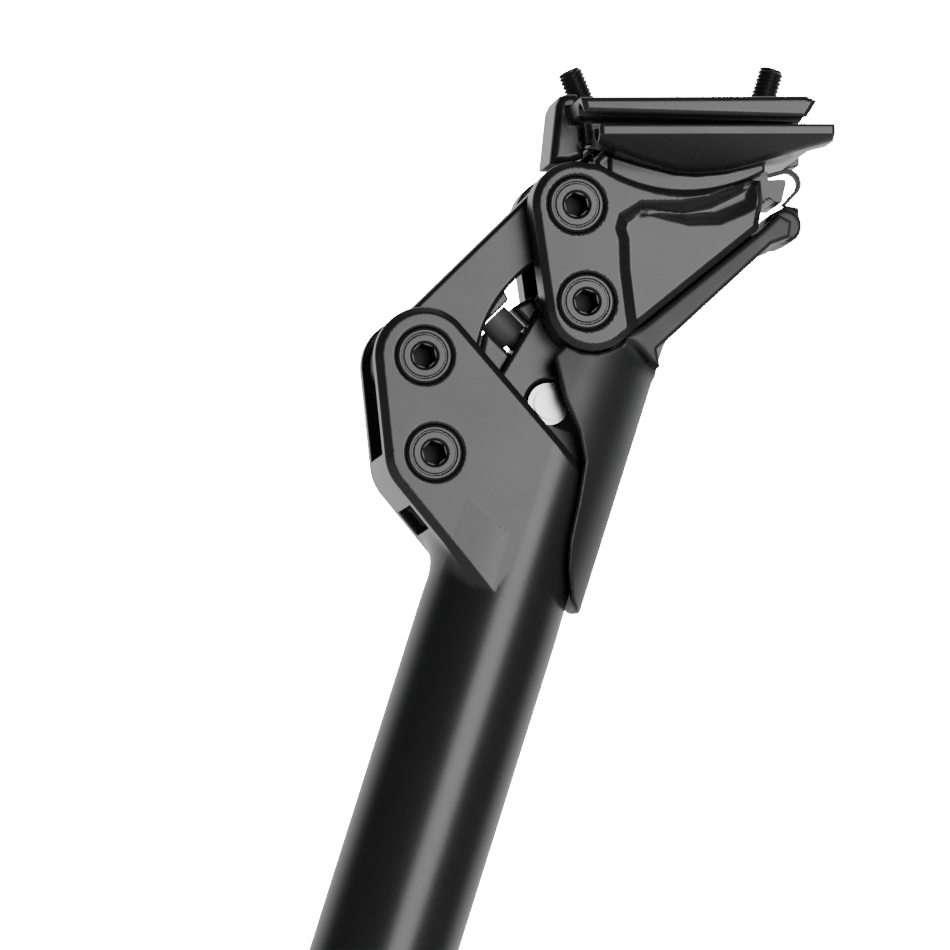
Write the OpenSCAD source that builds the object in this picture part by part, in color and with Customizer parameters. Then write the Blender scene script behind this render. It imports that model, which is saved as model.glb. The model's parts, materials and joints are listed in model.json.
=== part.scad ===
// Parallelogram suspension seatpost: a tube with a forged bracket, two parallel links
// that carry the saddle head, and a coil spring inside the tube under a piston.
// Origin: centre of the tube's bottom end. +Z up the tube, +X rearward, +Y to the
// bicycle's right. All sizes are in millimetres.

/* [Tube] */
// Outer diameter of the tube
tube_d = 27.2; // [27.2:0.1:27.4]
// Bore of the tube
tube_bore_d = 22.2; // [21.8:0.1:22.4]
// Height of the datum, where the bracket's lower edge crosses the tube
datum_z = 273; // [240:1:330]

/* [Linkage] */
// Upper bracket pivot ahead of the tube's axis
pivot_a_front = 28.1; // [27.6:0.1:28.6]
// Upper bracket pivot above the datum
pivot_a_up = 17.5; // [17:0.1:18]
// Distance between the two pivots of the bracket, and of the head
pivot_gap = 18.6; // [18.5:0.05:18.8]
// Slope of the line through those two pivots, down from the rearward direction
pivot_rake = 66.5; // [66:0.1:67]
// Distance between the pivots of a link
link_len = 40.5; // [40.2:0.1:40.8]
// Slope of the links at rest, up from the rearward direction
link_rise = 62.8; // [62.5:0.1:63.2]
// Width of a link
link_w = 15.8; // [15.6:0.1:15.8]
// Width of the slot that a link works in
slot_w = 17.0; // [17.0:0.1:17.2]
// Diameter of the hollow pivot axles
axle_d = 9.0; // [8.8:0.1:9.2]
// Diameter of the pivot bolts' heads
pivot_head_d = 10.8; // [10.6:0.1:10.8]
// Width across the flats of the hexagon sockets
hex_af = 4.0; // [3.8:0.1:4.2]

/* [Roller and spring] */
// Roller centre along the rear link, from its bracket pivot
roller_along = 23.1; // [22.9:0.1:23.3]
// Roller centre behind the rear link's own line
roller_back = 9.0; // [8.9:0.1:9.2]
// Diameter of the rollers
roller_d = 8.0; // [7.8:0.1:8.0]
// Outer diameter of the main spring
spring_d = 20.0; // [19.6:0.1:20.4]
// Wire diameter of the main spring
spring_wire = 3.2; // [3.0:0.1:3.4]
// Turns of the main spring
spring_turns = 12; // [10:1:14]
// Bottom of the main spring above the tube's end
spring_bottom = 130; // [125:1:135]

/* [Head] */
// Width over the head's two cheeks
head_w = 36.0; // [35.6:0.1:36.4]
// Tilt axis ahead of the rails' centre
tilt_ahead = 4.5; // [4.3:0.1:4.7]
// Tilt axis above the rails' centre
tilt_up = 18.6; // [18.4:0.1:18.8]
// Radius of the round seat that the clamp tilts on
seat_r = 31.0; // [30.9:0.1:31.1]

/* [Saddle clamp] */
// Rails' centre behind the tube's axis
rail_back = 10.7; // [10.5:0.1:10.9]
// Rails' centre above the datum
rail_up = 76.2; // [76:0.1:76.4]
// Slope of the rails, up towards the rear
rail_slope = 18.5; // [18.2:0.1:18.8]
// Distance between the centres of the two saddle rails
rail_gap = 44.0; // [43.6:0.1:44.4]
// Diameter of a saddle rail
rail_d = 7.0; // [7.0:0.1:7.1]
// Diameter of the clamp bolts
clamp_bolt_d = 5.0; // [4.9:0.1:5.1]
// Lean of the front clamp bolt away from square to the rails
front_lean = 22; // [21:1:23]
// Lean of the rear clamp bolt away from square to the rails
rear_lean = 18; // [17:1:19]

/* [Fender] */
// Wall of the rubber fender
fender_wall = 2.0; // [1.8:0.1:2.0]
// Gap between the tube and the fender
fender_gap = 0.7; // [0.7:0.1:0.9]

/* [Hidden] */
$fn = 96;

tube_r = tube_d / 2;
bore_r = tube_bore_d / 2;
lug_r = 9.4;
head_lug_r = 8.4;
foot_r = 8.7;
neck_cut = 0.22;
neck_bottom = 248;
neck_t = 8;
axle_r = axle_d / 2;
cap_r = pivot_head_d / 2;
cap_t = 2.2;
cap_inset = 0.15;
pivot_screw_r = 3.0;
sleeve_r = 5.5;
flange_r = 6.5;
flange_t = 0.5;
side_gap = 0.08;
running = 0.04;
post_half = tube_r - neck_cut;
head_half = head_w / 2;
slot_half = slot_w / 2;

// Directions and points in the XZ plane, as [x, z]
function dir(a) = [cos(a), sin(a)];
function left_of(a) = [-sin(a), cos(a)];
pivot_a = [-pivot_a_front, datum_z + pivot_a_up];
pivot_b = pivot_a + pivot_gap * dir(-pivot_rake);
pivot_c = pivot_a + link_len * dir(link_rise);
pivot_d = pivot_b + link_len * dir(link_rise);
roller_at = pivot_b + roller_along * dir(link_rise) - roller_back * left_of(link_rise);
rail_at = [rail_back, datum_z + rail_up];
function on_rails(p) = rail_at + p[0] * dir(rail_slope) + p[1] * left_of(rail_slope);
function on_link(p, q) = p + q[0] * dir(link_rise) + q[1] * left_of(link_rise);
tilt_at = on_rails([-tilt_ahead, tilt_up]);

// Lower edge of the head
back_slope = 56.8;
foot = pivot_d + [1.3, -0.3];

// Bracket outline
top_slope = -31.4;
lower_slope = -33.0;
top_tangent = pivot_a + lug_r * dir(90 + top_slope);
lower_tangent = pivot_b - lug_r * left_of(lower_slope);
top_line_z = top_tangent[1] + (tube_r - top_tangent[0]) * tan(top_slope);
lower_line_z = lower_tangent[1] - lower_tangent[0] * tan(lower_slope);
slot_floor = datum_z - 9.5;
slot_shelf = datum_z - 6.8;
slot_b_r = 7.0;

// Clamp bolts: where their lines cross the barrel nuts, in the rails' frame
nut_front_at = [-21.0, 3.2];
nut_rear_at = [11.5, 3.2];
nut_r = 3.5;
nut_w = 16;
bolt_above_nut = 10.4;
head_web = 4.5;
washer_t = 2.0;
bolt_head_r = 4.1;
bolt_head_t = 4.0;
front_axis = dir(90 + front_lean);
rear_axis = dir(90 - rear_lean);
clamp_split = 0.4;
knob_at = [31.2, datum_z + 64.2];
wing_half = 26.3;

arch_r = 25;
arch_along = 23.3;
arch_drop = 2.1;
bumper_along = 28.4;
piston_top = roller_at[1] - roller_d / 2;
piston_bottom = datum_z - 30;
plug_bottom = 3;
plug_top = 14;
seat_t = 4;

// ---- Helpers ----

// Flat outline in the XZ plane given a width across the post
module plate(w) {
    rotate([90, 0, 0])
        linear_extrude(w, center = true)
            children();
}

// Cylinder lying across the post, centred on p
module across(p, r, w, y = 0) {
    translate([p[0], y, p[1]])
        rotate([90, 0, 0])
            cylinder(r = r, h = w, center = true);
}

// Copies the children to the other side of the post
module both_sides() {
    children();
    mirror([0, 1, 0]) children();
}

// The straight part of a belt round two discs, and the whole outline
module belt_web(p, rp, q, rq) {
    d = q - p;
    a = atan2(d[1], d[0]);
    b = acos((rp - rq) / norm(d));
    polygon([p + rp * dir(a + b), q + rq * dir(a + b), q + rq * dir(a - b), p + rp * dir(a - b)]);
}

module belt(p, rp, q, rq) {
    translate(p) circle(rp);
    translate(q) circle(rq);
    belt_web(p, rp, q, rq);
}

// Moves the children from the rails' frame into the post's frame
module rails_frame() {
    translate([rail_at[0], 0, rail_at[1]])
        rotate([0, -rail_slope, 0])
            children();
}

// Puts the children's +Z on a line through the point p of the rails' frame
module on_bolt_line(p, lean) {
    rails_frame()
        translate([p[0], 0, p[1]])
            rotate([0, lean, 0])
                children();
}

// Recess for a pivot bolt's head in both outer faces of a part 2 * half wide
module cap_recess(p, half) {
    both_sides()
        across(p, cap_r + 0.1, 2 * (cap_t + cap_inset), half);
}

// Pivot bolt of the side at +Y: head with a ring groove and a hexagon socket, and its shank
module pivot_bolt(p, half) {
    top = half - cap_inset;
    difference() {
        union() {
            across(p, cap_r, cap_t, top - cap_t / 2);
            across(p, pivot_screw_r, 7, top - cap_t - 3.5);
        }
        difference() {
            across(p, 4.35, 0.8, top);
            across(p, 4.0, 1.0, top);
        }
        translate([p[0], top + 0.01, p[1]])
            rotate([90, 0, 0])
                cylinder(r1 = 3.2, r2 = 2.3, h = 0.6);
        translate([p[0], top + 0.02, p[1]])
            rotate([90, 0, 0])
                cylinder(r = hex_af / sqrt(3), h = 3, $fn = 6);
    }
}

// Hollow axle that runs from one bolt head to the other
module axle(p, half) {
    difference() {
        across(p, axle_r, 2 * (half - cap_inset - cap_t));
        across(p, pivot_screw_r + 0.02, 2 * half);
    }
}

// Two flanged bushings, one pressed into each side of a link
module bushing_pair(p) {
    both_sides()
        difference() {
            union() {
                across(p, sleeve_r, 7, link_w / 2 - 3.5);
                across(p, flange_r, flange_t, link_w / 2 + flange_t / 2 + 0.02);
            }
            across(p, axle_r + running, 20, link_w / 2);
        }
}

// ---- Tube and bracket ----

module bracket_outline() {
    belt(pivot_a, lug_r, pivot_b, lug_r);
    polygon([
        pivot_a, top_tangent, [tube_r + 1, top_line_z + tan(top_slope)],
        [tube_r + 1, lower_line_z], [0, lower_line_z], lower_tangent, pivot_b
    ]);
}

// Room for the links, the rollers and the piston between the cheeks
module bracket_slot() {
    translate(pivot_b) circle(slot_b_r);
    polygon([
        [-60, datum_z + 60], [-60, datum_z - 2.2], [pivot_b[0] - 5, datum_z - 2.2],
        pivot_b, [pivot_b[0], slot_shelf], [-11.5, slot_shelf], [-8.5, slot_floor],
        [9.5, slot_floor], [9.5, datum_z - 4], [40, datum_z - 4], [40, datum_z + 60]
    ]);
}

module post_tube() {
    pocket_mid = lower_tangent + 7.7 * dir(lower_slope);
    color([0.09, 0.09, 0.1])
    difference() {
        union() {
            cylinder(r = tube_r, h = neck_bottom);
            translate([0, 0, neck_bottom]) cylinder(r1 = tube_r, r2 = post_half, h = neck_t);
            translate([0, 0, neck_bottom + neck_t])
                cylinder(r = post_half, h = datum_z - 10 - neck_bottom - neck_t);
            intersection() {
                plate(2 * post_half) bracket_outline();
                union() {
                    cylinder(r = post_half, h = datum_z + 60);
                    translate([-60, -post_half, 0]) cube([60, 2 * post_half, datum_z + 60]);
                }
            }
        }
        translate([0, 0, -1]) cylinder(r = bore_r, h = datum_z + 60);
        plate(slot_w) bracket_slot();
        translate([pocket_mid[0], 0, pocket_mid[1]])
            rotate([0, -lower_slope, 0])
                cube([5.6, slot_w, 5], center = true);
        across(pivot_a, axle_r + 0.02, 60);
        across(pivot_b, axle_r + 0.02, 60);
        cap_recess(pivot_a, post_half);
        cap_recess(pivot_b, post_half);
    }
}

// ---- Links ----

module front_link() {
    arch_at = on_link(pivot_a, [arch_along, -arch_drop - arch_r]);
    foot_end_r = 8.0;
    head_end_r = 7.5;
    color([0.12, 0.12, 0.13])
    difference() {
        union() {
            across(pivot_a, foot_end_r, link_w);
            across(pivot_c, head_end_r, link_w);
            difference() {
                plate(link_w) belt_web(pivot_a, foot_end_r, pivot_c, head_end_r);
                across(arch_at, arch_r, 30);
            }
            plate(9) polygon([
                on_link(pivot_a, [10, -1]), on_link(pivot_a, [10, -4.0]),
                on_link(pivot_a, [20.6, -4.0]), on_link(pivot_a, [21.6, -1])
            ]);
        }
        across(pivot_a, sleeve_r + 0.02, 30);
        across(pivot_c, sleeve_r + 0.02, 30);
    }
}

module rear_link() {
    ear_w = 6.0;
    color([0.12, 0.12, 0.13])
    difference() {
        union() {
            difference() {
                plate(link_w)
                    difference() {
                        belt(pivot_b, 6.6, pivot_d, 7.0);
                        polygon([
                            on_link(pivot_b, [6.9, 12]), on_link(pivot_b, [7.6, 1.4]),
                            on_link(pivot_b, [19.4, 1.3]), on_link(pivot_b, [34.6, 5.1]),
                            on_link(pivot_b, [36.0, 12])
                        ]);
                    }
                across(roller_at, roller_d / 2 + 0.5, 40);
            }
            plate(ear_w)
                belt(on_link(pivot_b, [roller_along, -2.2]), 5.6, roller_at, 3.4);
            plate(10) polygon([
                on_link(pivot_b, [15.6, 0.6]), on_link(pivot_b, [18.4, 5.6]),
                on_link(pivot_b, [20.6, 6.8]), on_link(pivot_b, [24.0, 9.1]),
                on_link(pivot_b, [25.1, 9.1]), on_link(pivot_b, [25.1, 0.6])
            ]);
            plate(10) polygon([
                on_link(pivot_b, [31.7, 1.0]), on_link(pivot_b, [31.7, 8.8]),
                on_link(pivot_b, [33.0, 8.6]), on_link(pivot_b, [36.6, 7.4]),
                on_link(pivot_b, [36.6, 1.0])
            ]);
        }
        across(roller_at, 2.0, 30);
        across(pivot_b, sleeve_r + 0.02, 30);
        across(pivot_d, sleeve_r + 0.02, 30);
        on_link_bumper() cylinder(r = 2.0, h = 6, center = true);
    }
}

// Puts the children's +Z square to the links, at the bumper's foot on the rear link
module on_link_bumper() {
    p = on_link(pivot_b, [bumper_along, 3.4]);
    translate([p[0], 0, p[1]])
        rotate([0, -link_rise, 0])
            children();
}

module top_out_bumper() {
    color([0.2, 0.2, 0.21])
    on_link_bumper()
    union() {
        translate([0, 0, -2.8]) cylinder(r = 1.98, h = 4);
        translate([0, 0, 1.0]) cylinder(r = 3.1, h = 5.7);
    }
}

module front_link_bushings() {
    color([0.75, 0.72, 0.6]) {
        bushing_pair(pivot_a);
        bushing_pair(pivot_c);
    }
}

module rear_link_bushings() {
    color([0.75, 0.72, 0.6]) {
        bushing_pair(pivot_b);
        bushing_pair(pivot_d);
    }
}

module front_lower_axle() { color([0.7, 0.7, 0.72]) axle(pivot_a, post_half); }
module rear_lower_axle() { color([0.7, 0.7, 0.72]) axle(pivot_b, post_half); }
module front_upper_axle() { color([0.7, 0.7, 0.72]) axle(pivot_c, head_half); }
module rear_upper_axle() { color([0.7, 0.7, 0.72]) axle(pivot_d, head_half); }

module lower_pivot_bolts() {
    color([0.14, 0.14, 0.15])
    both_sides() {
        pivot_bolt(pivot_a, post_half);
        pivot_bolt(pivot_b, post_half);
    }
}

module upper_pivot_bolts() {
    color([0.14, 0.14, 0.15])
    both_sides() {
        pivot_bolt(pivot_c, head_half);
        pivot_bolt(pivot_d, head_half);
    }
}

// ---- Rollers ----

module roller(side) {
    color([0.85, 0.85, 0.86])
    difference() {
        across(roller_at, roller_d / 2, 4.5, side * 5.45);
        across(roller_at, 2.0 + running, 20, side * 5.45);
    }
}

module roller_left() { roller(-1); }
module roller_right() { roller(1); }

module roller_pin() {
    color([0.6, 0.6, 0.62])
    union() {
        across(roller_at, 1.99, 16);
        both_sides() across(roller_at, 2.9, 0.5, 8.05);
    }
}

// ---- Spring assembly inside the tube ----

module spring_piston() {
    crown_r = bore_r - 0.2;
    color([0.08, 0.08, 0.08])
    difference() {
        union() {
            translate([0, 0, piston_bottom]) cylinder(r = bore_r - 0.06, h = 19);
            intersection() {
                translate([0, 0, piston_bottom]) cylinder(r = crown_r, h = piston_top - piston_bottom);
                translate([-4.8, -8, piston_bottom])
                    cube([20, 16, piston_top - piston_bottom]);
            }
        }
        translate([0, 0, piston_bottom - 1]) cylinder(r = 4.5, h = 13);
    }
}

module spring_guide_rod() {
    color([0.75, 0.75, 0.72])
    translate([0, 0, piston_bottom - 60])
        cylinder(r = 4.45, h = 72);
}

// Round wire along a helix: flat ends, rings of points joined side to side
module main_spring() {
    sides = 8;
    steps = 16;
    wire_r = spring_wire / 2;
    coil_r = spring_d / 2 - wire_r;
    low = spring_bottom + wire_r + 0.1;
    high = piston_bottom - wire_r - 0.1;
    rings = spring_turns * steps;
    points = [
        for (i = [0:rings], j = [0:sides - 1])
            let (t = i / rings, a = 360 * spring_turns * t, b = 360 * j / sides,
                 r = coil_r + wire_r * cos(b))
            [r * cos(a), r * sin(a), low + (high - low) * t + wire_r * sin(b)]
    ];
    walls = [
        for (i = [0:rings - 1], j = [0:sides - 1])
            let (k = (j + 1) % sides)
            [i * sides + j, i * sides + k, (i + 1) * sides + k, (i + 1) * sides + j]
    ];
    caps = [
        [for (j = [sides - 1:-1:0]) j],
        [for (j = [0:sides - 1]) rings * sides + j]
    ];
    color([0.55, 0.56, 0.58])
        polyhedron(points, concat(walls, caps));
}

module spring_seat() {
    color([0.75, 0.75, 0.72])
    translate([0, 0, spring_bottom - seat_t])
        cylinder(r = bore_r - 0.3, h = seat_t);
}

module bottom_out_bumper() {
    color([0.25, 0.25, 0.26])
    translate([0, 0, spring_bottom])
        cylinder(r = 4.2, h = 22);
}

module preload_spacer() {
    color([0.3, 0.3, 0.32])
    translate([0, 0, plug_top])
        difference() {
            cylinder(r = bore_r - 0.4, h = spring_bottom - seat_t - plug_top);
            translate([0, 0, -1]) cylinder(r = bore_r - 2.6, h = spring_bottom);
        }
}

module preload_plug() {
    color([0.6, 0.6, 0.62])
    difference() {
        translate([0, 0, plug_bottom]) cylinder(r = bore_r - 0.05, h = plug_top - plug_bottom);
        translate([0, 0, plug_bottom - 1]) cylinder(r = 8 / sqrt(3), h = 8, $fn = 6);
    }
}

// ---- Head ----

module cheek_outline() {
    back_start = foot - foot_r * left_of(back_slope);
    back_end = back_start + 34.6 * dir(back_slope);
    tip = on_rails([9.6, -10.2]);
    belt(pivot_c, head_lug_r, foot, foot_r);
    polygon([pivot_c, foot, back_start, back_end, on_rails([10.0, -14]), tip, pivot_c + [-3, 7.8]]);
}

// Bridge between the cheeks: a web under the clamp's seat that ends in a rear nose
module bridge_outline() {
    nose = 13.9;
    polygon([
        on_rails([9, -9.5]), on_rails([nose + 1.5, -9.2]), on_rails([nose + 1.6, -10.2]),
        on_rails([nose + 0.7, -13.8]), on_rails([nose - 0.5, -13.8]), on_rails([12.3, -12.9]),
        on_rails([9, -12.4])
    ]);
    intersection() {
        translate(tilt_at) circle(seat_r + head_web, $fn = 180);
        translate(rail_at)
            rotate(rail_slope)
                translate([-30, -40]) square([42, 36]);
        union() {
            translate([pivot_c[0] + 1.9, pivot_c[1] + 8.4]) square([60, 30]);
            translate([pivot_c[0] + 11, pivot_c[1] - 10]) square([50, 40]);
        }
    }
}

module bolt_slot(p, lean) {
    on_bolt_line(p, lean)
        translate([-5.7, -3.4, -40]) cube([11.4, 6.8, 36]);
}

module head() {
    recess_d = 2.0;
    arm_edge = [pivot_c + [7.4, 20], pivot_c + [7.4, 0], pivot_d + [7.2, 1.5],
                pivot_d + [3.5, -14], pivot_d + [40, -14], pivot_c + [60, 20]];
    color([0.12, 0.12, 0.13])
    difference() {
        union() {
            difference() {
                plate(head_w) cheek_outline();
                plate(slot_w) square([300, 2000], center = true);
                both_sides()
                    translate([0, head_half, 0]) plate(2 * recess_d) polygon(arm_edge);
            }
            plate(slot_w + 0.02) bridge_outline();
        }
        across(tilt_at, seat_r, 60);
        across(pivot_c, axle_r + 0.02, 60);
        across(pivot_d, axle_r + 0.02, 60);
        cap_recess(pivot_c, head_half);
        cap_recess(pivot_d, head_half);
        bolt_slot(nut_front_at, -front_lean);
        bolt_slot(nut_rear_at, rear_lean);
    }
}

// ---- Saddle clamp ----

module cradle_side() {
    polygon([
        [-23.0, -clamp_split], [-23.0, -4.0], [-13.6, -6.9], [-6.8, -8.6], [-2.5, -8.9],
        [3, -8.4], [10, -6.8], [22.3, -3.8], [22.3, -clamp_split]
    ]);
}

module cradle_front() {
    polygon([
        [-wing_half, -clamp_split], [-wing_half, -2.8], [-14, -10.4],
        [14, -10.4], [wing_half, -2.8], [wing_half, -clamp_split]
    ]);
}

// Rail grooves on both sides, along the rails
module rail_grooves() {
    both_sides()
        translate([0, rail_gap / 2, 0])
            rotate([0, 90, 0])
                cylinder(r = rail_d / 2, h = 80, center = true);
}

// Outline in the YZ plane given a length along the rails
module along_rails(length) {
    rotate([90, 0, 90])
        linear_extrude(length, center = true)
            children();
}

module bolt_hole(p, lean) {
    translate([p[0], 0, p[1]])
        rotate([0, lean, 0])
            cylinder(r = clamp_bolt_d / 2 + 0.2, h = 80, center = true);
}

module lower_cradle() {
    color([0.13, 0.13, 0.14])
    rails_frame()
    difference() {
        union() {
            intersection() {
                plate(80) cradle_side();
                along_rails(80) cradle_front();
            }
            plate(25) intersection() {
                translate([-tilt_ahead, tilt_up]) circle(seat_r - 0.05, $fn = 180);
                translate([-19.5, -14]) square([30.5, 14 - clamp_split]);
            }
        }
        rail_grooves();
        translate([-24, -15.2, -4.4]) cube([48, 30.4, 5]);
        bolt_hole(nut_front_at, -front_lean);
        bolt_hole(nut_rear_at, rear_lean);
    }
}

module upper_side() {
    polygon([
        [-25.8, 1.6], [16.7, clamp_split], [18.9, 3.8], [16.8, 4.7], [-26.5, 4.5]
    ]);
}

// Front nose of the upper clamp, ahead of the cradle
module nose_side() {
    nose_r = 2.2;
    polygon([
        [-22.4, 7.4], [-22.4, -3.2], [-23.4, -3.2], [-23.4, -5.0], [-26.4, -6.0], [-30.1, -6.0],
        [-28.7, 7.4 - nose_r], [-28.6 + nose_r, 7.4]
    ]);
    translate([-28.6 + nose_r, 7.4 - nose_r]) circle(nose_r);
}

module upper_clamp() {
    color([0.14, 0.14, 0.15])
    rails_frame()
    difference() {
        union() {
            plate(2 * wing_half) upper_side();
            plate(29) polygon([
                [-23.6, -3.2], [16, -3.2], [16.6, 5.4], [-24.6, 5.6]
            ]);
            plate(16.8) nose_side();
        }
        rail_grooves();
        nut_trough(nut_front_at);
        nut_trough(nut_rear_at);
        bolt_hole(nut_front_at, -front_lean);
        bolt_hole(nut_rear_at, rear_lean);
    }
}

module nut_trough(p) {
    across(p, nut_r + 0.02, nut_w + 0.4);
    translate([p[0] - nut_r - 0.02, -nut_w / 2 - 0.2, p[1]])
        cube([2 * nut_r + 0.04, nut_w + 0.4, 20]);
}

module barrel_nut(p, lean) {
    color([0.5, 0.5, 0.52])
    rails_frame()
    difference() {
        across(p, nut_r, nut_w);
        translate([p[0], 0, p[1]])
            rotate([0, lean, 0])
                cylinder(r = clamp_bolt_d / 2 + 0.02, h = 20, center = true);
    }
}

module barrel_nut_front() { barrel_nut(nut_front_at, -front_lean); }
module barrel_nut_rear() { barrel_nut(nut_rear_at, rear_lean); }

// Distance down a bolt's line from its nut to the underside of the head's web
function web_exit(p, axis) =
    let (c = [-tilt_ahead, tilt_up], q = p - c, r = seat_r + head_web,
         b = -q * axis, s = q * q - r * r)
    -b + sqrt(b * b - s);
front_exit = web_exit(nut_front_at, front_axis);
rear_exit = web_exit(nut_rear_at, rear_axis);

module clamp_bolt(p, lean, exit) {
    head_top = -exit - washer_t;
    color([0.1, 0.1, 0.11])
    on_bolt_line(p, lean)
    difference() {
        union() {
            translate([0, 0, head_top]) cylinder(r = clamp_bolt_d / 2, h = bolt_above_nut - head_top);
            translate([0, 0, head_top - bolt_head_t]) cylinder(r = bolt_head_r, h = bolt_head_t);
        }
        translate([0, 0, head_top - bolt_head_t - 1])
            cylinder(r = hex_af / sqrt(3), h = 4, $fn = 6);
    }
}

module clamp_bolt_front() { clamp_bolt(nut_front_at, -front_lean, front_exit); }
module clamp_bolt_rear() { clamp_bolt(nut_rear_at, rear_lean, rear_exit); }

// Washer with a hollow top that fits the round underside of the head's web
module clamp_washer(p, lean, exit) {
    color([0.3, 0.3, 0.31])
    difference() {
        on_bolt_line(p, lean)
            difference() {
                translate([0, 0, -exit - washer_t]) cylinder(r = 4.2, h = 8);
                translate([0, 0, -exit - washer_t - 1]) cylinder(r = clamp_bolt_d / 2 + 0.1, h = 12);
            }
        across(tilt_at, seat_r + head_web + 0.05, 60);
    }
}

module clamp_washer_front() { clamp_washer(nut_front_at, -front_lean, front_exit); }
module clamp_washer_rear() { clamp_washer(nut_rear_at, rear_lean, rear_exit); }

// ---- Fender ----

module fender_side() {
    polygon([
        [-4.8, datum_z + 24.9], [-0.6, datum_z + 17.8], [4.0, datum_z + 12.9],
        [7.0, datum_z + 7.8], [8.2, datum_z + 0.2], [9.0, datum_z - 7.5],
        [10.4, datum_z - 12.4], [12.9, datum_z - 17.2], [15.0, datum_z - 18.9],
        [17.4, datum_z - 19.0], [17.4, datum_z + 35.6], [13.0, datum_z + 35.0],
        off_head(3.5, 0.6), off_head(0, 0.6), under_foot(-48), under_foot(-65),
        under_foot(-85), under_foot(-106)
    ]);
}

module fender_shell(r) {
    cylinder(r = r, h = datum_z + 60);
    translate([-20, -r, 0]) cube([20, 2 * r, datum_z + 60]);
}

// Point on the head's lower edge, and out from it
function off_head(s, t) =
    foot + s * dir(back_slope) - (foot_r + t) * left_of(back_slope);

// Point just under the head's foot, at an angle from its centre
function under_foot(a) = foot + (foot_r + 0.35) * dir(a);

module fender() {
    inner = tube_r + fender_gap;
    color([0.07, 0.07, 0.07])
    difference() {
        union() {
            intersection() {
                plate(60) fender_side();
                difference() {
                    fender_shell(inner + fender_wall);
                    fender_shell(inner);
                }
            }
            plate(30) polygon([
                off_head(2, 0.35), off_head(35.4, 0.35), knob_at + [-3.0, 0.6], knob_at,
                knob_at + [0.6, -3.2], off_head(35, 3.8), off_head(9, 4.6), off_head(3, 4.4),
                [inner + 1.2, datum_z + 29.2], [inner - 1.3, datum_z + 29.8]
            ]);
            plate(16.6) polygon([
                off_head(2.2, -0.7), off_head(34, -0.7), off_head(34.4, 1.2), off_head(2.4, 1.2)
            ]);
            across(knob_at, 3.3, 12);
            plate(10) polygon([
                knob_at + [-1.6, 1.5], knob_at + [2.4, 1.5], knob_at + [1.7, 4.4],
                knob_at + [-1.0, 4.0]
            ]);
        }
        plate(9.6) polygon([
            off_head(20.6, -4), off_head(20.6, 2.9), off_head(35.6, 2.9), off_head(35.6, -4)
        ]);
    }
}

// Thin band from the head's nose, round a loop and down to the knob
module fender_strap() {
    top = on_rails([16.9, -9.2]);
    loop_r = 2.8;
    t = 0.7;
    first = rail_slope + 90;
    last = -30;
    steps = 12;
    angles = [for (i = [0:steps]) first + (last - first) * i / steps];
    color([0.07, 0.07, 0.07])
    plate(3.2)
        polygon(concat(
            [on_rails([12.3, -8.95]), on_rails([11.9, -8.4]), on_rails([13.4, -7.3])],
            [for (a = angles) top + loop_r * dir(a)],
            [knob_at + [-0.45, 4.5], knob_at + [-1.15, 4.5]],
            [for (i = [steps:-1:0]) top + (loop_r - t) * dir(angles[i])],
            [on_rails([13.8, -7.9])]
        ));
}

// ---- Build ----

post_tube();
front_link();
rear_link();
head();
front_lower_axle();
rear_lower_axle();
front_upper_axle();
rear_upper_axle();
lower_pivot_bolts();
upper_pivot_bolts();
front_link_bushings();
rear_link_bushings();
roller_left();
roller_right();
roller_pin();
top_out_bumper();
spring_piston();
spring_guide_rod();
main_spring();
spring_seat();
bottom_out_bumper();
preload_spacer();
preload_plug();
lower_cradle();
upper_clamp();
clamp_bolt_front();
clamp_bolt_rear();
barrel_nut_front();
barrel_nut_rear();
clamp_washer_front();
clamp_washer_rear();
fender();
fender_strap();
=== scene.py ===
"""Looks of the parallelogram suspension seatpost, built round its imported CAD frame.
Shapes are distance fields in millimetres, with z counted from the bracket's lower edge."""
import json
import math

import bpy
import bmesh
import numpy as np
import openvdb as vdb
from mathutils import Matrix, Vector


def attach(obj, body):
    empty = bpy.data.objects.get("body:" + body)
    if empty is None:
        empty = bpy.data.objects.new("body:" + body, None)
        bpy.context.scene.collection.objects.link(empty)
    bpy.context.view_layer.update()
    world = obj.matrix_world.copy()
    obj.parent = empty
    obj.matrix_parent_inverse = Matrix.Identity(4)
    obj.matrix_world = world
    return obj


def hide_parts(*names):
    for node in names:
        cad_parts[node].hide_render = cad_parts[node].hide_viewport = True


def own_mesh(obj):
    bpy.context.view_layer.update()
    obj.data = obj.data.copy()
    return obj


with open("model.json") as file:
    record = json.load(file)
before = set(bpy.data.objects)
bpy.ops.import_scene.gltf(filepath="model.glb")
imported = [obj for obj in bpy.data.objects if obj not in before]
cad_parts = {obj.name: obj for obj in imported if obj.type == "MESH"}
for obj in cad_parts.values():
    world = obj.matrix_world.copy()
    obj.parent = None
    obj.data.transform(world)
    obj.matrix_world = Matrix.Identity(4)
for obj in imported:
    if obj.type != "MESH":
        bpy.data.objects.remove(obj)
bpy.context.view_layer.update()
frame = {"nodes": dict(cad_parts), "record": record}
nodes = frame["nodes"]
MM = 0.001
DATUM = 273.0
LINK_SLOPE = 62.8
HEAD_SLOPE = 56.8
RAIL_SLOPE = 18.5
BOLTS = {"clamp_bolt_front": (-21.0, 3.2, -22), "clamp_bolt_rear": (11.5, 3.2, 18)}


# ---- Key points in the XZ plane ----

def along(deg):
    return np.array([math.cos(math.radians(deg)), math.sin(math.radians(deg))])


def left(deg):
    return along(deg + 90)


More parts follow.
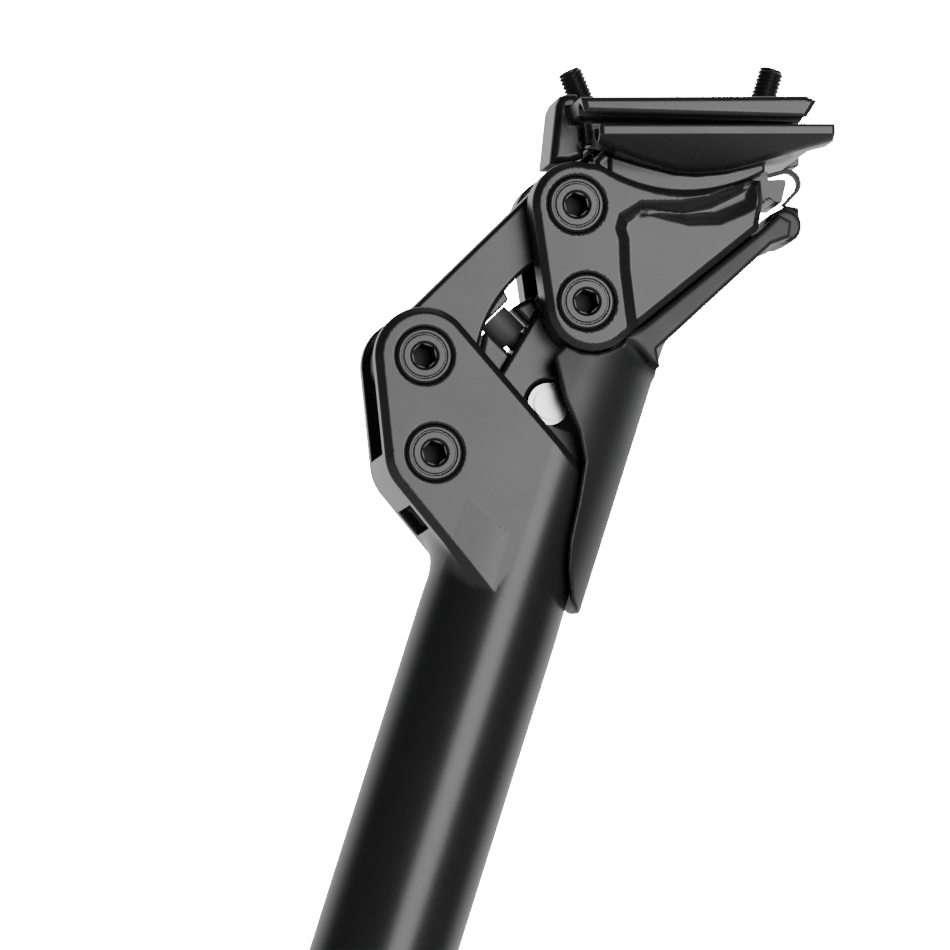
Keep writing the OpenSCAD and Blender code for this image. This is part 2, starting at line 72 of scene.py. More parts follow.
A = np.array([-28.1, 17.5])
B = A + 18.6 * along(-66.5)
C = A + 40.5 * along(LINK_SLOPE)
D = B + 40.5 * along(LINK_SLOPE)
ROLLER = B + 23.1 * along(LINK_SLOPE) - 9.0 * left(LINK_SLOPE)
RAIL = np.array([10.7, 76.2])
FOOT = D + [1.3, -0.3]
KNOB = np.array([31.2, 64.2])
POST_HALF = 13.38


def on_rails(u, v):
    return RAIL + u * along(RAIL_SLOPE) + v * left(RAIL_SLOPE)


def on_link(p, u, v):
    return p + u * along(LINK_SLOPE) + v * left(LINK_SLOPE)


def off_head(s, t):
    return FOOT + s * along(HEAD_SLOPE) - (8.7 + t) * left(HEAD_SLOPE)


TILT = on_rails(-4.5, 18.6)


# ---- Distance fields ----

def disc(x, z, p, r):
    return np.hypot(x - p[0], z - p[1]) - r


def poly(x, z, points):
    """Signed distance to a closed outline, negative inside."""
    near = np.inf
    inside = np.zeros(np.broadcast(x, z).shape, bool)
    for a, b in zip(points, points[1:] + points[:1]):
        ex, ez = b[0] - a[0], b[1] - a[1]
        wx, wz = x - a[0], z - a[1]
        t = np.clip((wx * ex + wz * ez) / (ex * ex + ez * ez), 0, 1)
        near = np.minimum(near, (wx - ex * t) ** 2 + (wz - ez * t) ** 2)
        if ez:
            inside ^= ((a[1] <= z) != (b[1] <= z)) & (wx < wz * ex / ez)
    return np.where(inside, -1, 1) * np.sqrt(near)


def belt(x, z, p, rp, q, rq):
    """Outline of a belt round two discs."""
    return np.minimum(np.minimum(disc(x, z, p, rp), disc(x, z, q, rq)), belt_web(x, z, p, rp, q, rq))


def belt_web(x, z, p, rp, q, rq):
    a = math.degrees(math.atan2(q[1] - p[1], q[0] - p[0]))
    b = math.degrees(math.acos((rp - rq) / math.hypot(*(q - p))))
    return poly(x, z, [p + rp * along(a + b), q + rq * along(a + b), q + rq * along(a - b), p + rp * along(a - b)])


def smin(a, b, k):
    h = np.clip(0.5 + 0.5 * (b - a) / k, 0, 1)
    return b + (a - b) * h - k * h * (1 - h)


def smax(a, b, k):
    return -smin(-a, -b, k)


def edge(a, b, c, k=0.2):
    """Intersection of two fields with a chamfer c wide between them."""
    return smax(smax(a, b, k), (a + b + c) * 0.70711, k)


def ramp(v, low, high):
    t = np.clip((v - low) / (high - low), 0, 1)
    return t * t * (3 - 2 * t)


def slopes(fn, p, h):
    g = np.empty_like(p)
    for i in range(3):
        q, r = p.copy(), p.copy()
        q[:, i] += h
        r[:, i] -= h
        g[:, i] = (fn(*q.T) - fn(*r.T)) / (2 * h)
    return g


def steps(*stops):
    """Axis values: steps(start, (end, step), (end, step) ...)."""
    out = [np.array([stops[0]], float)]
    for end, step in stops[1:]:
        start = out[-1][-1]
        count = max(1, round((end - start) / step))
        out.append(start + (end - start) * np.arange(1, count + 1) / count)
    return np.concatenate(out)


def surface(fn, xs, ys, zs):
    """Points, quads and normals of a field's zero surface."""
    field = fn(xs[:, None, None], ys[None, :, None], zs[None, None, :])
    field = np.broadcast_to(field, (len(xs), len(ys), len(zs))).astype(np.float32)
    grid = vdb.FloatGrid(9.0)
    grid.copyFromArray(np.clip(field, -9, 9))
    raw, quads = grid.convertToQuads(isovalue=0.0)
    p = np.stack([np.interp(raw[:, i], np.arange(len(v)), v) for i, v in enumerate((xs, ys, zs))], 1)
    for _ in range(4):
        g = slopes(fn, p, 0.01)
        move = -fn(*p.T)[:, None] * g / np.maximum((g ** 2).sum(1), 0.3)[:, None]
        size = np.linalg.norm(move, axis=1, keepdims=True)
        p += move * np.minimum(1, 0.3 / np.maximum(size, 1e-9))
    n = slopes(fn, p, 0.03)
    n /= np.maximum(np.linalg.norm(n, axis=1, keepdims=True), 1e-9)
    a, b, c = (p[quads[:, i]] for i in (0, 1, 2))
    if (np.cross(b - a, c - a) * n[quads[:, 0]]).sum() < 0:
        quads = quads[:, ::-1]
    return p, quads, n


def turned(part, rows, place):
    """A copy of a surface, turned by a 3x3 matrix and moved."""
    p, quads, n = part
    rows = np.array(rows, float)
    flip = np.linalg.det(rows) < 0
    return p @ rows.T + np.array(place), quads[:, ::-1] if flip else quads, n @ rows.T


def piece(name, parts, body, finish):
    """One object made of surfaces, riding on a body and standing for the node of its name."""
    first = np.cumsum([0] + [len(p[0]) for p in parts[:-1]])
    p = np.concatenate([q[0] for q in parts])
    quads = np.concatenate([q[1] + f for q, f in zip(parts, first)])
    n = np.concatenate([q[2] for q in parts])
    mesh = bpy.data.meshes.new("look_" + name)
    mesh.from_pydata(((p + [0, 0, DATUM]) * MM).tolist(), [], quads.tolist())
    mesh.shade_smooth()
    mesh.normals_split_custom_set_from_vertices(n.tolist())
    obj = bpy.data.objects.new("look_" + name, mesh)
    bpy.context.scene.collection.objects.link(obj)
    mesh.materials.append(finish)
    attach(obj, body)
    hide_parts(name)
    return obj


# ---- Post ----

TOP_TANGENT = A + 9.4 * along(90 - 31.4)
LOW_TANGENT = B - 9.4 * left(-33)
LOW_LINE = LOW_TANGENT[1] + LOW_TANGENT[0] * math.tan(math.radians(33))
BRACKET = [A, TOP_TANGENT, [14.6, TOP_TANGENT[1] - (14.6 - TOP_TANGENT[0]) * math.tan(math.radians(31.4))],
           [14.6, LOW_LINE], [0, LOW_LINE], LOW_TANGENT, B]
SLOT = [[-60, 60], [-60, -2.2], [B[0] - 5, -2.2], B, [B[0], -6.8], [-11.5, -6.8], [-8.5, -9.5],
        [9.5, -9.5], [9.5, -4], [40, -4], [40, 60]]
POCKET = LOW_TANGENT + 7.7 * along(-33)


def recess(f, x, y, z, p, half):
    """A pivot's bore and the flat seat for its bolt's head in an outer face."""
    seat = np.maximum(disc(x, z, p, 5.5), half - 2.35 - y)
    return np.maximum(edge(f, -seat, 0.35, 0.1), 4.52 - np.hypot(x - p[0], z - p[1]))


def post(x, y, z):
    y = np.abs(y)
    round_r = np.hypot(x, y)
    tube = np.maximum(round_r - np.interp(z, [-25, -17], [13.6, POST_HALF]), z + 10)
    outline = np.minimum(belt(x, z, A, 9.4, B, 9.4), poly(x, z, BRACKET))
    cheeks = edge(outline, np.where(x < 0, y, round_r) - POST_HALF, 1.3)
    f = smin(tube, cheeks, 5.0 * np.clip((-2 - x) / 10, 0, 1) + 0.01)
    slot = np.maximum(np.minimum(poly(x, z, SLOT), disc(x, z, B, 7)), y - 8.5)
    u = (x - POCKET[0]) * along(-33)[0] + (z - POCKET[1]) * along(-33)[1]
    v = (x - POCKET[0]) * left(-33)[0] + (z - POCKET[1]) * left(-33)[1]
    pocket = smax(smax(np.abs(u) - 2.8, np.abs(v) - 2.5, 1.2), y - 8.5, 0.8)
    f = smax(f, -np.minimum(slot, pocket), 0.5)
    f = smax(f, 11.1 - round_r, 0.2)
    for p in (A, B):
        f = recess(f, x, y, z, p, POST_HALF)
    return edge(f, -DATUM - z, 0.5)


# ---- Links ----

def front_link(x, y, z):
    arch = disc(x, z, on_link(A, 23.3, -27.1), 25)
    web = smax(belt_web(x, z, A, 8.0, C, 7.5), -arch, 0.6)
    f = smin(np.minimum(disc(x, z, A, 8.0), disc(x, z, C, 7.5)), web, 0.5)
    f = edge(f, np.abs(y) - 7.9, 0.6)
    pad = poly(x, z, [on_link(A, 10, -1), on_link(A, 10, -4), on_link(A, 20.6, -4), on_link(A, 21.6, -1)])
    f = smin(f, smax(pad, np.abs(y) - 4.5, 0.5), 0.4)
    return smax(f, 5.52 - np.minimum(np.hypot(x - A[0], z - A[1]), np.hypot(x - C[0], z - C[1])), 0.1)


def rear_link(x, y, z):
    y = np.abs(y)
    relief = poly(x, z, [on_link(B, 6.9, 12), on_link(B, 7.6, 1.4), on_link(B, 19.4, 1.3),
                         on_link(B, 34.6, 5.1), on_link(B, 36, 12)])
    f = smax(belt(x, z, B, 6.6, D, 7.0), -relief, 1.0)
    f = smax(f, -disc(x, z, ROLLER, 4.5), 0.4)
    f = edge(f, y - 7.9, 0.5)
    ear = edge(belt(x, z, on_link(B, 23.1, -2.2), 5.6, ROLLER, 3.4), y - 3, 0.4)
    rib = poly(x, z, [on_link(B, 15.6, 0.6), on_link(B, 18.4, 5.6), on_link(B, 20.6, 6.8),
                      on_link(B, 24, 9.1), on_link(B, 25.1, 9.1), on_link(B, 25.1, 0.6)])
    stop = poly(x, z, [on_link(B, 31.7, 1), on_link(B, 31.7, 8.8), on_link(B, 33, 8.6), on_link(B, 36.6, 7.4),
                       on_link(B, 36.6, 1)])
    ribs = edge(np.minimum(rib, stop), y - 5, 0.5, 0.4)
    f = smin(f, np.minimum(ear, ribs), 0.5)
    f = np.maximum(f, -disc(x, z, ROLLER, 2.0))
    foot = on_link(B, 28.4, 3.4)
    u = (x - foot[0]) * along(LINK_SLOPE)[0] + (z - foot[1]) * along(LINK_SLOPE)[1]
    v = (x - foot[0]) * left(LINK_SLOPE)[0] + (z - foot[1]) * left(LINK_SLOPE)[1]
    f = np.maximum(f, -np.maximum(np.hypot(u, y) - 2.0, np.abs(v) - 3))
    return smax(f, 5.52 - np.minimum(np.hypot(x - B[0], z - B[1]), np.hypot(x - D[0], z - D[1])), 0.1)


# ---- Head ----

BACK = FOOT - 8.7 * left(HEAD_SLOPE)
CHEEK = [C, FOOT, BACK, BACK + 34.6 * along(HEAD_SLOPE), on_rails(10, -14), on_rails(9.6, -10.2), C + [-3, 7.8]]
NOSE = [on_rails(9, -9.5), on_rails(15.4, -9.2), on_rails(15.5, -10.2), on_rails(14.6, -13.8),
        on_rails(13.4, -13.8), on_rails(12.3, -12.9), on_rails(9, -12.4)]
# The raised part of the cheek: the lugs and a rib that runs up to the rear corner
RAISED = [[10, 28], [-40, 20], [-40, 80], [22, 80], [18.2, 67], [14.4, 63.3], [9.3, 60.2], [2, 57.7],
          [-1, 54.3], [-0.9, 51.6], [0.4, 49.8], [2.3, 44.4], [5.5, 37.4]]
# The scoop under that rib
SCOOP = [[-0.6, 54], [2, 57.7], [9.3, 60.2], [14.4, 63.3], [18.2, 67], [22.6, 71], [23.6, 64.4],
         [21.7, 62.5], [17.7, 59.1], [12.2, 57.1], [4.4, 56.5]]


def bolt_slot(x, y, z, u, v, lean):
    """Slot for a clamp bolt through the web, long along the tilt."""
    c = on_rails(u, v)
    axis, side = along(RAIL_SLOPE + 90 - lean), along(RAIL_SLOPE - lean)
    s = (x - c[0]) * side[0] + (z - c[1]) * side[1]
    t = (x - c[0]) * axis[0] + (z - c[1]) * axis[1]
    return smax(smax(np.abs(s) - 5.7, y - 3.4, 1.0), np.maximum(t + 4, -40 - t), 0.3)


def head(x, y, z):
    y = np.abs(y)
    outline = np.minimum(belt(x, z, C, 8.4, FOOT, 8.7), poly(x, z, CHEEK))
    seat = -disc(x, z, TILT, 31)
    outline = smax(outline, seat, 0.3)
    depth = 2.0 * ramp(poly(x, z, RAISED), -0.6, 2.2) + 1.5 * ramp(-poly(x, z, SCOOP), -0.6, 2.4)
    cheek = edge(outline, y - (18 - depth), 1.2)
    cheek = smax(cheek, 8.5 - y, 0.3)
    rails_u = (x - RAIL[0]) * along(RAIL_SLOPE)[0] + (z - RAIL[1]) * along(RAIL_SLOPE)[1]
    rails_v = (x - RAIL[0]) * left(RAIL_SLOPE)[0] + (z - RAIL[1]) * left(RAIL_SLOPE)[1]
    block = np.maximum(np.maximum(-30 - rails_u, rails_u - 12), rails_v + 4)
    ahead = np.minimum(np.maximum(C[0] + 1.9 - x, C[1] + 8.4 - z), np.maximum(C[0] + 11 - x, C[1] - 10 - z))
    web = smax(smax(disc(x, z, TILT, 35.5), block, 0.5), ahead, 0.5)
    bridge = np.maximum(smin(smax(web, seat, 0.3), poly(x, z, NOSE), 0.4), y - 8.7)
    f = smin(cheek, bridge, 0.8)
    for p in (C, D):
        f = recess(f, x, y, z, p, 18)
    for u, v, lean in BOLTS.values():
        f = smax(f, -bolt_slot(x, y, z, u, v, lean), 0.3)
    return f


# ---- Saddle clamp, in the rails' frame: x along the rails, z square to them ----

def square_hole(x, y, z, low, high, half, z_low, z_high, k=0.8):
    return smax(smax(smax(low - x, x - high, k), y - half, k), smax(z_low - z, z - z_high, k), k)


def hole_line(x, y, z, u, v, lean, r):
    s = (x - u) * math.cos(math.radians(lean)) - (z - v) * math.sin(math.radians(lean))
    return np.hypot(s, y) - r


def lower_cradle(x, y, z):
    y = np.abs(y)
    side = poly(x, z, [[-23, -0.4], [-23, -4], [-13.6, -6.9], [-6.8, -8.6], [-2.5, -8.9], [3, -8.4],
                       [10, -6.8], [22.3, -3.8], [22.3, -0.4]])
    front = poly(y, z, [[-5, -0.4], [-5, -10.4], [14, -10.4], [26.3, -2.8], [26.3, -0.4]])
    f = edge(side, front, 0.5, 0.3)
    seat = smax(np.hypot(x + 4.5, z - 18.6) - 30.95, np.maximum(np.maximum(-19.5 - x, x - 11), z + 0.4), 0.3)
    f = smin(f, edge(seat, y - 12.5, 0.5, 0.3), 0.6)
    f = smax(f, 3.5 - np.hypot(y - 22, z), 0.2)
    f = smax(f, -square_hole(x, y, z, -24, 24, 15.2, -4.4, 3), 0.4)
    for u, v, lean in BOLTS.values():
        f = smax(f, -hole_line(x, y, z, u, v, lean, 2.7), 0.2)
    return f


def upper_clamp(x, y, z):
    y = np.abs(y)
    side = poly(x, z, [[-25.8, 1.6], [16.7, 0.4], [18.9, 3.8], [16.8, 4.7], [-26.5, 4.5]])
    f = edge(side, y - 26.3, 0.7, 0.25)
    inner = poly(x, z, [[-23.6, -3.2], [16, -3.2], [16.6, 5.4], [-24.6, 5.6]])
    f = smin(f, edge(inner, y - 14.5, 0.8, 0.3), 1.0)
    nose = poly(x, z, [[-22.4, 7.4], [-22.4, -3.2], [-23.4, -3.2], [-23.4, -5], [-26.4, -6], [-30.1, -6],
                       [-28.7, 5.2], [-27.9, 6.9], [-26.4, 7.4]])
    f = smin(f, edge(nose, y - 8.4, 0.9, 0.5), 0.8)
    f = smax(f, 3.5 - np.hypot(y - 22, z), 0.2)
    for u, v, lean in BOLTS.values():
        trough = np.where(z > v, np.abs(x - u), np.hypot(x - u, z - v)) - 3.52
        f = smax(f, -np.maximum(trough, y - 8.2), 0.2)
        f = smax(f, -hole_line(x, y, z, u, v, lean, 2.7), 0.1)
    return f


def on_rails_frame(part):
    c, s = along(RAIL_SLOPE)
    return turned(part, [[c, 0, -s], [0, 1, 0], [s, 0, c]], [RAIL[0], 0, RAIL[1]])


# ---- Bolts: +z is their outer end ----

def hexagon(x, y, flats):
    x, y = np.abs(x), np.abs(y)
    return np.maximum(y, x * 0.866025 + y * 0.5) - flats / 2


def pivot_bolt(x, y, z):
    r = np.hypot(x, y)
    f = edge(r - 5.4, np.maximum(z, -2.2 - z), 0.45, 0.1)
    f = np.minimum(f, np.maximum(r - 3, np.maximum(z, -9.2 - z)))
    f = smax(f, -np.maximum(np.abs(r - 4.18) - 0.2, -0.4 - z), 0.12)
    socket = np.maximum(hexagon(x, y, 4.1), -6.5 - z)
    cone = (r - 2.75 - 0.8 * z) * 0.78
    return smax(f, -np.minimum(socket, np.maximum(cone, -0.5 - z)), 0.1)


def web_exit(u, v, lean):
    axis = (math.sin(math.radians(lean)), math.cos(math.radians(lean)))
    q = (u + 4.5, v - 18.6)
    b = -(q[0] * axis[0] + q[1] * axis[1])
    return -b + math.sqrt(b * b - q[0] ** 2 - q[1] ** 2 + 35.5 ** 2)


def clamp_bolt(under):
    def field(x, y, z):
        r = np.hypot(x, y)
        turn = z / 0.8 - np.arctan2(y, x) / (2 * math.pi)
        groove = 1 - 2 * np.abs(turn - np.floor(turn) - 0.5)
        shank = r - 2.5 + 0.4 * groove * ramp(z, -8, -7)
        shank = edge(shank * 0.8, z - 10.4, 0.5, 0.1)
        f = np.maximum(shank, under - z)
        cap = edge(edge(r - 4.1, z - under, 0.3), under - 4 - z, 0.5)
        f = np.minimum(f, cap)
        return smax(f, -np.maximum(hexagon(x, y, 4.0), z - under + 1), 0.15)
    return field


def on_bolt_line(part, u, v, lean):
    a = math.radians(lean)
    c, s = math.cos(a), math.sin(a)
    return on_rails_frame(turned(part, [[c, 0, s], [0, 1, 0], [-s, 0, c]], [u, 0, v]))


# ---- Fender ----

def under_foot(deg):
    return FOOT + 9.05 * along(deg)


SKIRT = [[-4.8, 24.9], [-0.6, 17.8], [4, 12.9], [7, 7.8], [8.2, 0.2], [9, -7.5], [10.4, -12.4],
         [12.9, -17.2], [15, -18.9], [17.4, -19], [17.4, 33.4], [14.8, 36.4], [13, 36],
         off_head(3.5, 0.6), off_head(0, 0.6), under_foot(-48), under_foot(-65), under_foot(-85), under_foot(-106)]
SLAB = [off_head(2, 0.35), off_head(35.4, 0.35), KNOB + [-3.0, 0.6], KNOB, KNOB + [0.6, -3.2],
        off_head(35, 3.8), off_head(9, 5.4), off_head(5, 5.6), [15.5, 29.2], [13, 29.8]]
RIB = [off_head(2.2, -0.7), off_head(34, -0.7), off_head(34.4, 1.2), off_head(2.4, 1.2)]
ROOM = [off_head(20.6, -4), off_head(20.6, 2.9), off_head(35.6, 2.9), off_head(35.6, -4)]


def fender(x, y, z):
    y = np.abs(y)
    shell = np.where(x < 0, y, np.hypot(x, y))
    skirt = smax(np.abs(shell - 15.3) - 1.0, poly(x, z, SKIRT), 0.8)
    slab = smax(poly(x, z, SLAB), y - 15, 1.2)
    f = smin(skirt, slab, 2.0)
    f = smin(f, smax(poly(x, z, RIB), y - 8.3, 0.5), 0.4)
    knob = smax(disc(x, z, KNOB, 3.3), y - 6, 1.2)
    neck = poly(x, z, [KNOB + [-1.6, 1.5], KNOB + [2.4, 1.5], KNOB + [1.7, 4.4], KNOB + [-1, 4]])
    f = smin(f, smin(knob, smax(neck, y - 5, 0.8), 0.8), 1.8)
    return smax(f, -smax(poly(x, z, ROOM), y - 4.8, 0.8), 0.3)


def strap(x, y, z):
    top = on_rails(16.9, -9.2)
    turns = [108.5 - 138.5 * i / 12 for i in range(13)]
    band = [on_rails(12.3, -8.95), on_rails(11.9, -8.4), on_rails(13.4, -7.3)]
    band += [top + 2.8 * along(a) for a in turns] + [KNOB + [-0.45, 4.5], KNOB + [-1.15, 4.5]]
    band += [top + 2.1 * along(a) for a in reversed(turns)] + [on_rails(13.8, -7.9)]
    return smax(poly(x, z, band), np.abs(y) - 1.6, 0.15)


# ---- Camera, light and floor ----

def make_camera():
    """A long lens beside the post and a little below its head, rolled so that the rails lie level."""
    right = Vector((0.9449, -0.133, 0.2988)).normalized()
    up = Vector((-0.3114, -0.086, 0.9464))
    up = (up - right * right.dot(up)).normalized()
    back = right.cross(up)
    data = bpy.data.cameras.new("camera")
    data.sensor_width = 36.0
    data.lens = 350.7
    data.clip_start = 0.05
    data.clip_end = 20.0
    camera = bpy.data.objects.new("camera", data)
    bpy.context.scene.collection.objects.link(camera)
    camera.matrix_world = Matrix((
        (right.x, up.x, back.x, -0.187976),
        (right.y, up.y, back.y, -1.746777),
        (right.z, up.z, back.z, 0.056371),
        (0, 0, 0, 1),
    ))
    bpy.context.scene.camera = camera


def area_light(name, place, target, size, power, size_y=None):
    data = bpy.data.lights.new(name, "AREA")
    data.energy = power
    data.size = size
    if size_y:
        data.shape = "RECTANGLE"
        data.size_y = size_y
    light = bpy.data.objects.new(name, data)
    bpy.context.scene.collection.objects.link(light)
    light.location = place
    aim = Vector(target) - Vector(place)
    light.rotation_euler = aim.to_track_quat("-Z", "Y").to_euler()
    return light


def make_world():
    """White to the camera. It lights the part from behind, and hardly from in front."""
    world = bpy.data.worlds.new("studio")
    bpy.context.scene.world = world
    world.use_nodes = True
    tree = world.node_tree
    tree.nodes.clear()
    out = tree.nodes.new("ShaderNodeOutputWorld")
    mix = tree.nodes.new("ShaderNodeMixShader")
    rays = tree.nodes.new("ShaderNodeLightPath")
    seen = tree.nodes.new("ShaderNodeBackground")
    lit = tree.nodes.new("ShaderNodeBackground")
    coords = tree.nodes.new("ShaderNodeTexCoord")
    toward = tree.nodes.new("ShaderNodeVectorMath")
    toward.operation = "DOT_PRODUCT"
    toward.inputs[1].default_value = (0.1, 0.987, 0.123)
    glow = tree.nodes.new("ShaderNodeMapRange")
    glow.interpolation_type = "SMOOTHSTEP"
    glow.inputs["From Min"].default_value = 0.12
    glow.inputs["From Max"].default_value = 0.6
    glow.inputs["To Min"].default_value = 0.015
    glow.inputs["To Max"].default_value = 1.6
    tree.links.new(coords.outputs["Generated"], toward.inputs[0])
    tree.links.new(toward.outputs["Value"], glow.inputs["Value"])
    tree.links.new(glow.outputs["Result"], lit.inputs["Strength"])
    seen.inputs["Color"].default_value = (1, 1, 1, 1)
    seen.inputs["Strength"].default_value = 30
    tree.links.new(rays.outputs["Is Camera Ray"], mix.inputs[0])
    tree.links.new(lit.outputs[0], mix.inputs[1])
    tree.links.new(seen.outputs[0], mix.inputs[2])
    tree.links.new(mix.outputs[0], out.inputs[0])


def make_floor(z=-0.003, radius=0.75):
    mesh = bpy.data.meshes.new("floor")
    bm = bmesh.new()
    bmesh.ops.create_circle(bm, cap_ends=True, segments=96, radius=radius)
    bm.to_mesh(mesh)
    bm.free()
    floor = bpy.data.objects.new("floor", mesh)
    bpy.context.scene.collection.objects.link(floor)
    floor.location = (0, 0.0, z)
    mat = bpy.data.materials.new("floor_paint")
    mat.use_nodes = True
    shader = mat.node_tree.nodes["Principled BSDF"]
    shader.inputs["Base Color"].default_value = (0.82, 0.82, 0.81, 1)
    shader.inputs["Roughness"].default_value = 0.8
    mesh.materials.append(mat)


# ---- Materials ----

def material(name, colour, rough, metal=0.0, grain=0.0, grain_mm=0.2, spread=0.0, rough_spread=0.08, coat=0.0):
    """A finish with a fine grain in its bump, and uneven colour and gloss."""
    mat = bpy.data.materials.new(name)
    mat.use_nodes = True
    tree = mat.node_tree
    shader = tree.nodes["Principled BSDF"]
    shader.inputs["Metallic"].default_value = metal
    if coat:
        shader.inputs["Coat Weight"].default_value = coat
        shader.inputs["Coat Roughness"].default_value = 0.25
    coords = tree.nodes.new("ShaderNodeTexCoord")
    cloud = tree.nodes.new("ShaderNodeTexNoise")
    cloud.inputs["Scale"].default_value = 90
    cloud.inputs["Detail"].default_value = 4
    tree.links.new(coords.outputs["Object"], cloud.inputs["Vector"])
    tint = tree.nodes.new("ShaderNodeMapRange")
    tint.inputs["To Min"].default_value = 1 - spread
    tint.inputs["To Max"].default_value = 1 + spread
    tree.links.new(cloud.outputs["Fac"], tint.inputs["Value"])
    scale = tree.nodes.new("ShaderNodeVectorMath")
    scale.operation = "SCALE"
    scale.inputs[0].default_value = colour
    tree.links.new(tint.outputs["Result"], scale.inputs["Scale"])
    tree.links.new(scale.outputs["Vector"], shader.inputs["Base Color"])
    gloss = tree.nodes.new("ShaderNodeMapRange")
    gloss.inputs["To Min"].default_value = rough - rough_spread
    gloss.inputs["To Max"].default_value = rough + rough_spread
    tree.links.new(cloud.outputs["Fac"], gloss.inputs["Value"])
    tree.links.new(gloss.outputs["Result"], shader.inputs["Roughness"])
    if grain:
        fine = tree.nodes.new("ShaderNodeTexNoise")
        fine.inputs["Scale"].default_value = 1 / (grain_mm * MM)
        fine.inputs["Detail"].default_value = 2
        bump = tree.nodes.new("ShaderNodeBump")
        bump.inputs["Strength"].default_value = grain
        bump.inputs["Distance"].default_value = 0.02 * MM
        tree.links.new(coords.outputs["Object"], fine.inputs["Vector"])
        tree.links.new(fine.outputs["Fac"], bump.inputs["Height"])
        tree.links.new(bump.outputs["Normal"], shader.inputs["Normal"])
    return mat


ANODISED = material("anodised_black", (0.02, 0.02, 0.021), 0.30, grain=0.3, grain_mm=0.25, spread=0.08,
                    rough_spread=0.03)
OXIDE = material("oxide_black", (0.018, 0.018, 0.019), 0.28, grain=0.2, grain_mm=0.2, spread=0.1, rough_spread=0.04)
RUBBER = material("rubber_black", (0.018, 0.018, 0.019), 0.45, grain=0.4, grain_mm=0.4, spread=0.1)
STEEL = material("ground_steel", (0.55, 0.55, 0.56), 0.3, metal=1.0, grain=0.1, grain_mm=0.3, spread=0.04)
GREY_STEEL = material("grey_steel", (0.32, 0.32, 0.33), 0.3, metal=1.0, grain=0.1, grain_mm=0.3, spread=0.05)
PLASTIC = material("bushing_plastic", (0.6, 0.58, 0.5), 0.45, grain=0.1, grain_mm=0.3, spread=0.03)
SPRING = material("spring_wire", (0.42, 0.43, 0.45), 0.3, metal=1.0, grain=0.1, grain_mm=0.3, spread=0.06)
PLUG = material("plug_alloy", (0.55, 0.55, 0.57), 0.3, metal=1.0, grain=0.15, grain_mm=0.3, spread=0.04)
BUMPER = material("bumper_rubber", (0.1, 0.1, 0.1), 0.6, grain=0.3, grain_mm=0.4, spread=0.08)
# Painted shade: a near-black finish put on the hex sockets of the pivot bolts, standing in for the shade inside them
SOCKET_SHADE = material("socket_painted_shade", (0.003, 0.003, 0.003), 0.6)
ACETAL = material("acetal_black", (0.03, 0.03, 0.03), 0.45, grain=0.2, grain_mm=0.3, spread=0.06)

FINISH = {
    "black_anodised": ANODISED, "black_bolt": OXIDE, "bright_steel": STEEL, "grey_steel": GREY_STEEL,
    "spring_steel": SPRING, "bushing_plastic": PLASTIC, "plug_alloy": PLUG,
    "black_plastic": ACETAL, "fender_rubber": RUBBER, "bumper_rubber": BUMPER,
}


def dress_cad_nodes():
    slots = {s["node"]: s["material_slot"] for s in frame["record"]["subparts"]}
    for name, obj in nodes.items():
        obj.data.materials.clear()
        obj.data.materials.append(FINISH[slots[name]])
        obj.data.shade_smooth()


def round_edges(names, width_mm, segments=3):
    for name in names:
        bevel = nodes[name].modifiers.new("edges", "BEVEL")
        bevel.width = width_mm * MM
        bevel.segments = segments
        bevel.limit_method = "ANGLE"
        bevel.angle_limit = math.radians(35)
        bevel.harden_normals = True


# ---- Pieces ----

def make_spring(turns=12, sides=18, rings_per_turn=40):
    """Round wire along a helix under the piston."""
    wire, coil = 1.6, 8.4
    low, high = 131.7 - DATUM, -30 - 1.7
    rings = turns * rings_per_turn
    t = np.arange(rings + 1)[:, None] / rings
    a = 2 * math.pi * turns * t
    b = 2 * math.pi * np.arange(sides)[None, :] / sides
    r = coil + wire * np.cos(b)
    p = np.stack([r * np.cos(a), r * np.sin(a), low + (high - low) * t + wire * np.sin(b)], -1).reshape(-1, 3)
    n = np.stack([np.cos(b) * np.cos(a), np.cos(b) * np.sin(a), np.sin(b) + 0 * a], -1).reshape(-1, 3)
    i = np.arange(rings)[:, None] * sides
    j = np.arange(sides)[None, :]
    k = (j + 1) % sides
    quads = np.stack([i + j, i + k, i + sides + k, i + sides + j], -1).reshape(-1, 4)
    return p, quads, n


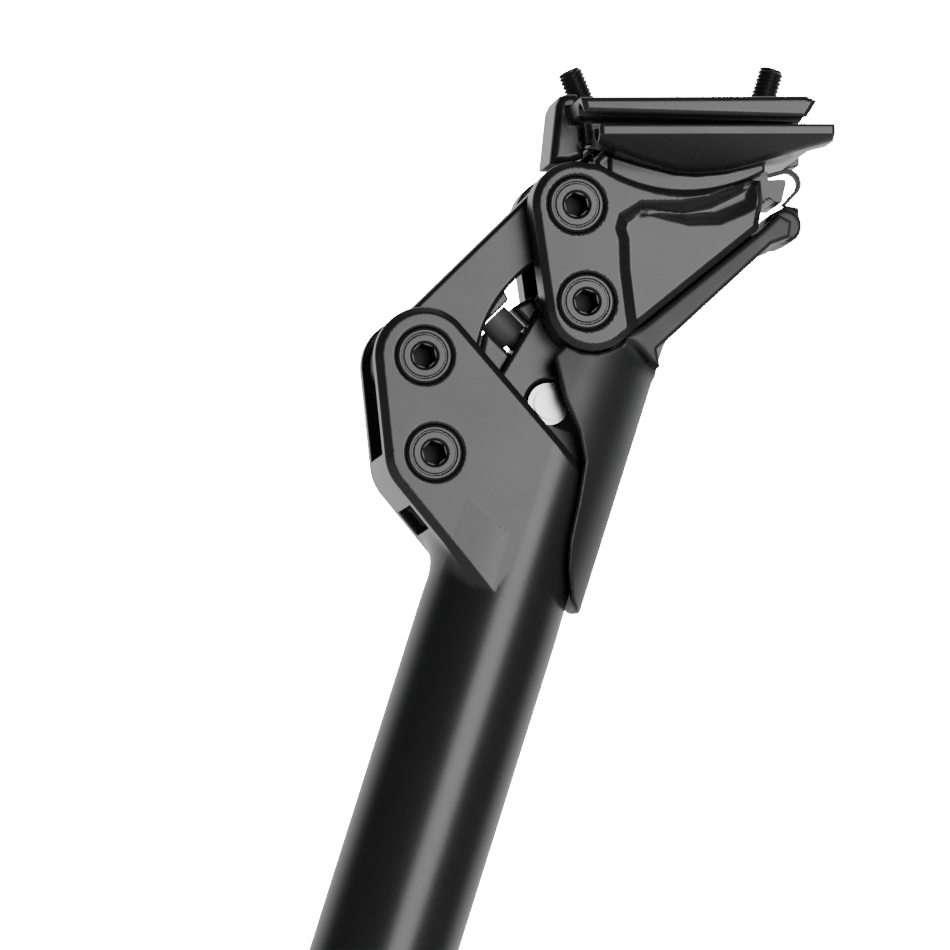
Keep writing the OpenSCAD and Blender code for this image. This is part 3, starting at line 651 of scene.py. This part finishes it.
def make_pieces():
    fine = 0.36
    wide = steps(-14.4, (14.4, fine))
    piece("post_tube", [surface(post, steps(-39, (-14.2, fine), (14.6, fine)), wide,
                                steps(-274, (-271.6, 0.3), (-36, 3.4), (28.6, fine)))],
          "post", ANODISED)
    piece("front_link", [surface(front_link, steps(-37.5, (0, fine)), steps(-8.6, (8.6, fine)),
                                 steps(8.5, (62.5, fine)))], "front_link", ANODISED)
    piece("rear_link", [surface(rear_link, steps(-28.5, (6, fine)), steps(-8.6, (8.6, fine)),
                                steps(-7.5, (44.5, fine)))], "rear_link", ANODISED)
    piece("head", [surface(head, steps(-19.5, (29.5, fine)), steps(-18.8, (18.8, fine)),
                           steps(26, (73.5, fine)))], "head", ANODISED)
    cradle = surface(lower_cradle, steps(-24, (23.4, fine)), steps(-27.2, (27.2, fine)), steps(-13.5, (0.4, 0.3)))
    piece("lower_cradle", [on_rails_frame(cradle)], "saddle_clamp", ANODISED)
    upper = surface(upper_clamp, steps(-31, (20, fine)), steps(-27.2, (27.2, fine)), steps(-7, (8.4, 0.3)))
    piece("upper_clamp", [on_rails_frame(upper)], "saddle_clamp", ANODISED)
    piece("fender", [surface(fender, steps(-4.2, (36, fine)), steps(-17, (17, fine)), steps(-20, (70, fine)))],
          "head", RUBBER)
    piece("fender_strap", [surface(strap, steps(23.5, (33.2, 0.16)), steps(-2, (2, 0.2)), steps(67.5, (76.5, 0.16)))],
          "head", RUBBER)
    cap = surface(pivot_bolt, steps(-5.7, (5.7, 0.12)), steps(-5.7, (5.7, 0.12)),
                  steps(-9.5, (-2.6, 0.25), (0.3, 0.12)))
    # Faces deep in each hex socket; these get the painted socket shade below
    corners = cap[0][cap[1]]
    socket = ((np.hypot(corners[..., 0], corners[..., 1]) < 2.6) & (corners[..., 2] < -0.7)).all(1)
    for name, body, half, places in (("lower_pivot_bolts", "post", POST_HALF, (A, B)),
                                     ("upper_pivot_bolts", "head", 18, (C, D))):
        copies = []
        for p in places:
            copies.append(turned(cap, [[1, 0, 0], [0, 0, 1], [0, -1, 0]], [p[0], half - 0.15, p[1]]))
            copies.append(turned(cap, [[1, 0, 0], [0, 0, -1], [0, 1, 0]], [p[0], 0.15 - half, p[1]]))
        mesh = piece(name, copies, body, OXIDE).data
        mesh.materials.append(SOCKET_SHADE)
        mesh.polygons.foreach_set("material_index", np.tile(socket, 4).astype(np.int32))
    for name, (u, v, lean) in BOLTS.items():
        under = -web_exit(u, v, lean) - 2
        screw = surface(clamp_bolt(under), steps(-4.5, (4.5, 0.15)), steps(-4.5, (4.5, 0.15)),
                        steps(under - 4.6, (under + 0.6, 0.15), (-8.5, 0.4), (10.8, 0.12)))
        piece(name, [on_bolt_line(screw, u, v, lean)], "saddle_clamp", OXIDE)
    spring = piece("main_spring", [make_spring()], "piston", SPRING)
    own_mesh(spring)


make_camera()
make_world()
make_floor()
area_light("softbox", (0.5, -1.6, 0.5), (0, 0, 0.3), 1.0, 23, 1.0)
dress_cad_nodes()
round_edges(["roller_left", "roller_right"], 0.35)
round_edges(["top_out_bumper"], 0.5)
round_edges(["spring_piston"], 0.4)
make_pieces()
